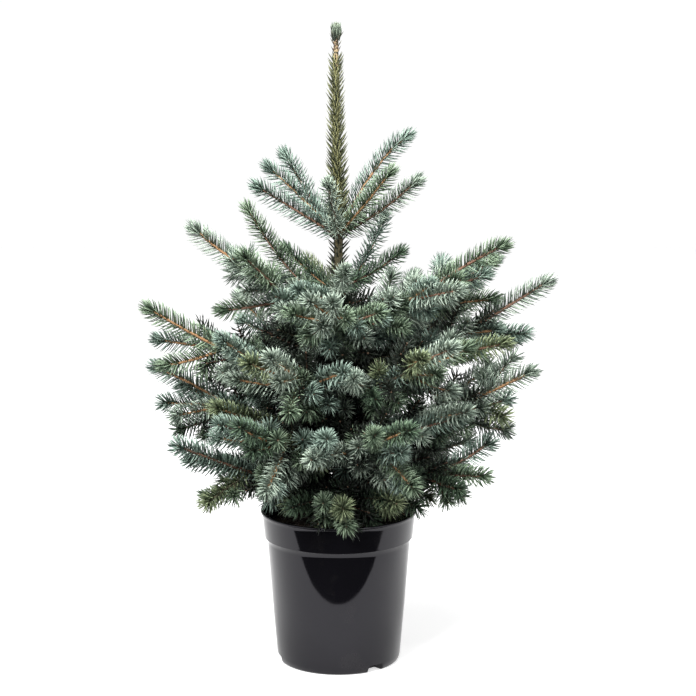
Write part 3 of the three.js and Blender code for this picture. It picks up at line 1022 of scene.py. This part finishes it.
def make_buds():
    """A bud at the end of every shoot, and the scales round the leader's waist."""
    plain = {"tilt": 0, "lift": 0, "stem": 0, "parting": 0}
    lines = []
    for shoot in shoots:
        ahead = (shoot.points[-1] - shoot.points[-2]).normalized()
        girth = 0.8 + 120 * shoot.foot_radius
        lines.append(([shoot.points[-1] + ahead * 1.5 * MM], [{**plain, "side": ahead, "girth": girth}]))
    for i in range(TIP_SCALES):
        out = outward(i * GOLDEN_ANGLE)
        place = trunk_at(LEADER_TIP - (27 + 1.2 * i) * MM).centre + out * (2.2 + 0.08 * i) * MM
        lines.append(([place], [{**plain, "side": (out * 0.5 + UP).normalized(), "girth": 1.4}]))
    piece = BUDS_ON.run(
        "buds", line_mesh("tips", lines), Bud_Length=4.2 * MM, Seed=5,
        Scales=material("brown bud", (0.130, 0.078, 0.046), 0.6))
    ride(piece, "bark")


# ---------------------------------------------------------------- trunk, leader and bark

def needle_piece(name, tint, lines, seed, slot="leader_needles", replaced=("leader_foliage",), **values):
    """The needles along some lines up the trunk."""
    light, shaded = needle_materials(tint)
    piece = NEEDLES_ALONG.run(name, line_mesh(name, lines), Seed=seed, Light=light, Shaded=shaded, **values)
    ride(piece, slot, *replaced)


def make_trunk_needles():
    """Dark spines on the trunk between the whorls, and the leader's needles from its foot to its tuft."""
    spines = upright_line(SPINE_FOOT, WHORL_HEIGHT + 4 * MM, evenly(1.0, 44))
    needle_piece(
        "needles_spine", "spine", [spines], 71, "needles", [n for n in FOLIAGE if n.startswith("slender")],
        Needle_Length=27 * MM, Needle_Width=3.2 * MM, Spacing=1.6 * MM, Curve=0.0)

    sleeve = upright_line(WHORL_HEIGHT + 2 * MM, LEADER_TIP - 70 * MM, evenly(1.0, 19, -0.1, -3))
    needle_piece(
        "needles_leader", "leader", [sleeve], 72,
        Needle_Length=26 * MM, Needle_Width=2.0 * MM, Spacing=0.42 * MM, Curve=0.05)

    spikes = upright_line(WHORL_HEIGHT + 20 * MM, LEADER_TIP - 60 * MM, evenly(1.34, 44, -0.42, -6))
    needle_piece(
        "needles_leader_spikes", "spike", [spikes], 74,
        Needle_Length=24 * MM, Needle_Width=2.2 * MM, Spacing=0.8 * MM, Curve=0.06)

    collar = upright_line(LEADER_TIP - 60 * MM, LEADER_TIP - 27 * MM, evenly(0.64, 28, 0.28, 9))
    needle_piece(
        "needles_leader_collar", "collar", [collar], 75,
        Needle_Length=24 * MM, Needle_Width=2.4 * MM, Spacing=2.1 * MM, Curve=0.0)

    tuft = []
    points, facts = upright_line(LEADER_TIP - 29 * MM, LEADER_TIP - 17 * MM, evenly(1.0, 15, 0.0, -6), 4 * MM)
    for i in range(TUFT_LINES):
        away = outward(i * GOLDEN_ANGLE) * (0.8 + 0.52 * i) * MM
        tuft.append(([p + away for p in points], facts))
    needle_piece(
        "needles_leader_tuft", "tuft", tuft, 73,
        Needle_Length=17 * MM, Needle_Width=1.6 * MM, Spacing=0.8 * MM, Curve=0.0)


class Skin:
    """Vertices and faces of closed tubes, gathered for one mesh."""

    def __init__(self):
        self.points = []
        self.faces = []

    def tube(self, line, sides, radius):
        """A closed tube along a line. radius(share, turn) gives its skin, foot to tip."""
        last = len(line) - 1
        first = len(self.points)
        for i, centre in enumerate(line):
            ahead = (line[min(i + 1, last)] - line[max(i - 1, 0)]).normalized()
            across = beside(ahead)
            over = across.cross(ahead)
            for k in range(sides):
                turn = 2 * math.pi * k / sides
                spoke = across * math.cos(turn) + over * math.sin(turn)
                self.points.append(centre + spoke * radius(i / last, turn))
        foot = len(self.points)
        self.points.extend([line[0], line[-1]])
        for k in range(sides):
            n = (k + 1) % sides
            self.faces.append((first + k, foot, first + n))
            top = first + last * sides
            self.faces.append((top + k, top + n, foot + 1))
            for i in range(last):
                row = first + i * sides
                self.faces.append((row + k, row + n, row + sides + n, row + sides + k))

    def mesh(self, name):
        made = mesh_of(name, self.points, self.faces)
        made.validate()
        made.shade_smooth()
        return made


TRUNK_RINGS = 420
TRUNK_SIDES = 28
BOUGH_SIDES = 12
BOUGH_FOOT_RADIUS = 4.3 * MM
BOUGH_END_RADIUS = 2.1 * MM
BOUGH_COLLAR = 1.6 * MM         # how much a bough swells where it leaves the trunk
TRUNK_DIP = 1.2 * MM            # how far the trunk's foot goes into the soil


def pegs(along, turn, girth):
    """The raised pegs that fallen needles leave, in a spiral up the young bark."""
    lattice = math.cos(5 * turn + along / (2.1 * MM)) * math.cos(3 * turn - along / (3.4 * MM))
    return max(0.0, lattice) ** 2 * girth


def make_bark():
    """The trunk and the boughs' old wood, with ridges, pegs and a flared foot."""
    skin = Skin()
    foot = TRUNK[0].centre.z
    top = TRUNK[-1].centre.z
    line = [trunk_at(foot + (top - foot) * i / TRUNK_RINGS).centre for i in range(TRUNK_RINGS + 1)]
    line[0] = line[0] - UP * TRUNK_DIP

    def trunk_radius(share, turn):
        height = (top - foot) * share
        radius = trunk_at(foot + height).radius + 0.9 * MM * eased(0.9, 0.94, share)
        flare = math.exp(-height / (22 * MM))
        ridges = 0.13 * flare * math.cos(4 * turn + 0.7) + 0.05 * math.sin(7 * turn + height / (14 * MM))
        swell = sum(math.exp(-((foot + height - z) / (5 * MM)) ** 2) for z in WHORLS_AT)
        grown = radius * (1 + ridges * (0.4 + flare) + 0.16 * swell)
        return grown + pegs(height, turn, 0.5 * MM) * (1 - flare)

    skin.tube(line, TRUNK_SIDES, trunk_radius)
    for number, (limb, fresh) in enumerate(old_wood):
        stretch = limb.part(0.0, fresh, 3 * MM)
        span = limb.length() * fresh

        def bough_radius(share, turn, number=number, span=span):
            collar = math.exp(-share * span / (9 * MM))
            radius = BOUGH_FOOT_RADIUS * (1 - share) + BOUGH_END_RADIUS * share + BOUGH_COLLAR * collar
            wave = 1 + 0.07 * math.sin(3 * turn + share * 9 + number)
            return radius * wave + pegs(share * span, turn, 0.45 * MM)

        skin.tube(stretch, BOUGH_SIDES, bough_radius)
    piece = link("trunk_and_boughs", skin.mesh("trunk_and_boughs"))
    piece.data.materials.append(bark_material())
    ride(piece, "bark", "trunk", *[n for n in NODES if "_bough_" in n])


WHORLS_AT = sorted({round(limb.foot.z, 2) for limb, _ in old_wood} | {WHORL_HEIGHT})

# ---------------------------------------------------------------- pot and soil

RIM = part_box("pot")[1].x
POT_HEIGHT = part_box("pot")[1].z
NOTCHES = ((-53, 13 * MM), (67, 13 * MM), (182, 32 * MM))       # azimuth and half width
NOTCH_HEIGHT = 11 * MM
NOTCH_SLANT = 1.4               # degrees of each notch's slanting sides
NOTCH_INNER = 76 * MM
NOTCH_HOUSING = 2 * MM          # a notch's roof inside the pot, over its roof outside
RIM_OVER_HEEL = 1.27            # the rim's radius for the heel's
BODY_SLOPE = 0.082              # how far the wall widens for its rise
SHARP_EDGE = 38                 # degrees


def arc(centre, radius, start, end, steps):
    """Points of an arc in the profile's plane, angles in degrees from outward."""
    return [
        (centre[0] + radius * math.cos(math.radians(start + (end - start) * i / steps)),
         centre[1] + radius * math.sin(math.radians(start + (end - start) * i / steps)))
        for i in range(steps + 1)
    ]


def pot_profile():
    """The pot's outline from the middle of its underside, out, up and back down inside."""
    rim = RIM
    top = POT_HEIGHT
    band = rim - 1.5 * MM
    band_foot = rim - 5.5 * MM
    ledge = 196 * MM
    wall = 2.2 * MM
    heights = [10, 11.5, 13, 14.5, 50, 90, 140, 186.6, 188]
    outside = [(0, 1.5 * MM), (60 * MM, 1.5 * MM), (66 * MM, 0), (NOTCH_INNER, 0),
               (NOTCH_INNER + 0.3 * MM, 0), (89.5 * MM, 0)]
    outside += arc((89.6 * MM, 4.2 * MM), 4.2 * MM, -75, -12, 5)
    outside += [(94.9 * MM, 6 * MM)]
    outside += [((95.5 + (height - 10) * BODY_SLOPE) * MM, height * MM) for height in heights]
    outside += [(110.8 * MM, ledge - 5 * MM)]
    outside += arc((band_foot - 1.6 * MM, ledge + 0.2 * MM), 1.6 * MM, -100, 0, 6)
    outside += [(band_foot + 0.1 * MM, ledge + 1.6 * MM), (band_foot + 0.2 * MM, ledge + 2.6 * MM),
                (band - 0.9 * MM, top - 8.5 * MM), (band - 0.8 * MM, top - 7.5 * MM),
                (band - 0.3 * MM, top - 5.2 * MM), (band, top - 4.1 * MM)]
    outside += arc((rim - 1 * MM, top - 2.9 * MM), 1 * MM, -80, 0, 4)
    outside += arc((rim - 1.2 * MM, top - 1.2 * MM), 1.2 * MM, 0, 90, 5)
    inside = arc((rim - 3 * MM, top - 0.8 * MM), 0.8 * MM, 90, 180, 4)
    inside += [(band - wall - 0.6 * MM, top - 12 * MM), (band_foot - wall, ledge),
               (110 * MM - wall, ledge - 8 * MM), (98.5 * MM - wall, 50 * MM), (95.4 * MM - wall, 15 * MM),
               (92.4 * MM, 9 * MM), (90 * MM, 3 * MM), (NOTCH_INNER - 2 * MM, 3 * MM),
               (NOTCH_INNER - 2.3 * MM, 3 * MM), (0, 3 * MM)]
    return outside, inside


def notch_edges():
    """Each notch's azimuth and half of its angle."""
    return [(azimuth, math.degrees(math.asin(half / RIM * RIM_OVER_HEEL))) for azimuth, half in NOTCHES]


def pot_angles(count=168):
    """Angles round the pot, with a close pair at each side of each notch."""
    angles = [360 * i / count for i in range(count)]
    for azimuth, edge in notch_edges():
        for side in (-edge, edge):
            angles = [a for a in angles if abs((a - azimuth - side + 180) % 360 - 180) > NOTCH_SLANT]
            angles += [(azimuth + side - NOTCH_SLANT / 2) % 360, (azimuth + side + NOTCH_SLANT / 2) % 360]
    return sorted(angles)


def make_pot():
    """A thin-walled pot turned about the vertical, with drainage notches in its foot."""
    outside, inside = pot_profile()
    profile = outside + inside
    angles = pot_angles()
    points = [Vector((0, 0, profile[0][1]))]
    rows = profile[1:-1]
    for angle in angles:
        notched = any(abs((angle - a + 180) % 360 - 180) < edge for a, edge in notch_edges())
        for i, (radius, height) in enumerate(rows):
            lift = 0
            if notched and i < len(outside) - 1 and radius > NOTCH_INNER + 0.1 * MM:
                lift = NOTCH_HEIGHT
            if notched and i >= len(outside) - 1 and radius > NOTCH_INNER - 2.2 * MM:
                lift = NOTCH_HEIGHT + NOTCH_HOUSING
            turn = math.radians(angle)
            points.append(Vector((radius * math.cos(turn), radius * math.sin(turn), max(height, lift))))
    points.append(Vector((0, 0, profile[-1][1])))
    faces = []
    count = len(rows)
    for a in range(len(angles)):
        here = 1 + a * count
        there = 1 + (a + 1) % len(angles) * count
        faces.append((0, there, here))
        faces.append((here + count - 1, there + count - 1, len(points) - 1))
        for i in range(count - 1):
            faces.append((here + i, there + i, there + i + 1, here + i + 1))
    mesh = mesh_of("nursery_pot", points, faces, pot_material())
    mesh.validate()
    mesh.shade_smooth()
    mesh.set_sharp_from_angle(angle=math.radians(SHARP_EDGE))
    ride(link("nursery_pot", mesh), "pot", "pot")


SOIL_RINGS = 40
SOIL_SIDES = 120
SOIL_MOUND = 3 * MM
SOIL_FLOOR = 14 * MM


def ring_at(radius, height_at):
    """Points of a ring of soil. height_at(x, y) gives the height of each."""
    points = []
    for k in range(SOIL_SIDES):
        turn = 2 * math.pi * k / SOIL_SIDES
        x = radius * math.cos(turn)
        y = radius * math.sin(turn)
        points.append(Vector((x, y, height_at(x, y))))
    return points


def make_soil():
    """A mound of compost inside the wall, with crumbs on top."""
    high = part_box("soil")[1]
    rng = random.Random(9)
    outer = high.x + 0.4 * MM
    waves = [
        (rng.uniform(40, 160), rng.uniform(0, ANY_TURN), rng.uniform(0, ANY_TURN)) for _ in range(14)
    ]

    def surface(x, y):
        radius = math.hypot(x, y) / outer
        mound = SOIL_MOUND * math.sin(math.pi * min(1, radius)) ** 2
        rough = sum(math.sin(f * (x * math.cos(d) + y * math.sin(d)) * 2.2 + p) for f, d, p in waves)
        return high.z - SOIL_MOUND + mound + 0.28 * MM * rough

    points = [Vector((0, 0, surface(0, 0)))]
    for ring in range(1, SOIL_RINGS + 1):
        points += ring_at(outer * ring / SOIL_RINGS, surface)
    wall = ((outer, 198 * MM), (107 * MM, 187 * MM), (91.4 * MM, SOIL_FLOOR))
    for radius, height in wall:
        points += ring_at(radius, lambda x, y, height=height: height)
    points.append(Vector((0, 0, SOIL_FLOOR)))
    faces = []
    bands = SOIL_RINGS + len(wall) - 1
    for k in range(SOIL_SIDES):
        n = (k + 1) % SOIL_SIDES
        faces.append((0, 1 + k, 1 + n))
        for band in range(bands):
            row = 1 + band * SOIL_SIDES
            under = row + SOIL_SIDES
            faces.append((row + k, under + k, under + n, row + n))
        last = 1 + bands * SOIL_SIDES
        faces.append((last + k, len(points) - 1, last + n))
    mesh = mesh_of("compost", points, faces, soil_material())
    mesh.shade_smooth()
    ride(link("compost", mesh), "soil", "soil")

    cover = [f for f in faces if all(p <= (SOIL_RINGS - 1) * SOIL_SIDES for p in f)]
    crumbs = CRUMBS_ON.run(
        "compost_crumbs", mesh_of("compost_top", points, cover), Crumb_Size=4.4 * MM, Density=52000.0, Seed=4,
        Compost=material("compost crumb", (0.028, 0.018, 0.011), 0.95))
    ride(crumbs, "soil")


# ---------------------------------------------------------------- stage, light and camera

# place, aim, width and watts of each lamp
LAMPS = {
    "front_left": ((-1.5, -2.6, 2.5), (0, 0, 0.45), 1.2, 114),
    "front_right": ((1.9, -2.2, 1.9), (0, 0, 0.45), 1.2, 43),
    "above": ((-0.2, -1.0, 2.8), (0, 0, 0.4), 1.4, 118),
}
WHITE_SEEN = 1.02               # how bright the surroundings look
LESS_SHED = 0.71                # and how much less of it lights matt surfaces
CAMERA_PLACE = (14.3 * MM, -3.078, 1.0353)
CAMERA_DIP = 10.1               # degrees below level
CAMERA_LENS = 106.6             # millimetres


def card(name, outline, height, made):
    """A level sheet of the stage inside an outline."""
    points = [(x, y, height) for x, y in outline]
    piece = link(name, mesh_of(name, points, [tuple(range(len(points)))], made))
    return piece


def area_light(name, place, aim, width, watts):
    """A round soft lamp."""
    data = bpy.data.lights.new(name, "AREA")
    data.shape = "DISK"
    data.size = width
    data.energy = watts
    lamp = link(name, data)
    lamp.location = place
    lamp.rotation_euler = (Vector(aim) - Vector(place)).to_track_quat("-Z", "Y").to_euler()


def make_stage():
    """A pale floor, a dark card that only mirror images show, white surroundings and soft lamps."""
    white = material("pale floor", (0.9, 0.9, 0.9), 0.8, Emission_Color=(1, 1, 1, 1), Emission_Strength=0.55)
    floor = card("floor", [(-4, -2), (4, -2), (4, 5), (-4, 5)], -0.4 * MM, white)
    floor.visible_diffuse = False
    near = [(x / 10, -0.333 + 0.28 * (x / 10) ** 2) for x in range(8, -9, -1)]
    dark = card("dark_floor_in_front", [(-0.8, -3.35), (0.8, -3.35)] + near, 1 * MM,
                material("dark floor", (0, 0, 0), 1))
    dark.visible_camera = False
    dark.visible_diffuse = False
    dark.visible_shadow = False
    dark.visible_transmission = False

    world = bpy.data.worlds.new("white surroundings")
    bpy.context.scene.world = world
    world.use_nodes = True
    graph = Graph(world.node_tree)
    background = world.node_tree.nodes["Background"]
    soft = graph.node("ShaderNodeLightPath", output="Is Diffuse Ray")
    strength = WHITE_SEEN - soft * LESS_SHED
    world.node_tree.links.new(strength.socket, background.inputs["Strength"])
    background.inputs["Color"].default_value = (1, 1, 1, 1)

    for name, (place, aim, width, watts) in LAMPS.items():
        area_light(name, place, aim, width, watts)


def make_camera():
    """The camera, well in front and looking down a little."""
    data = bpy.data.cameras.new("camera")
    data.sensor_width = 36
    data.lens = CAMERA_LENS
    camera = link("camera", data)
    camera.location = CAMERA_PLACE
    camera.rotation_euler = (math.radians(90 - CAMERA_DIP), 0, 0)
    bpy.context.scene.camera = camera


make_needles()
make_stems()
make_buds()
make_trunk_needles()
make_bark()
make_pot()
make_soil()
make_stage()
make_camera()
bpy.context.scene.view_settings.view_transform = "Standard"
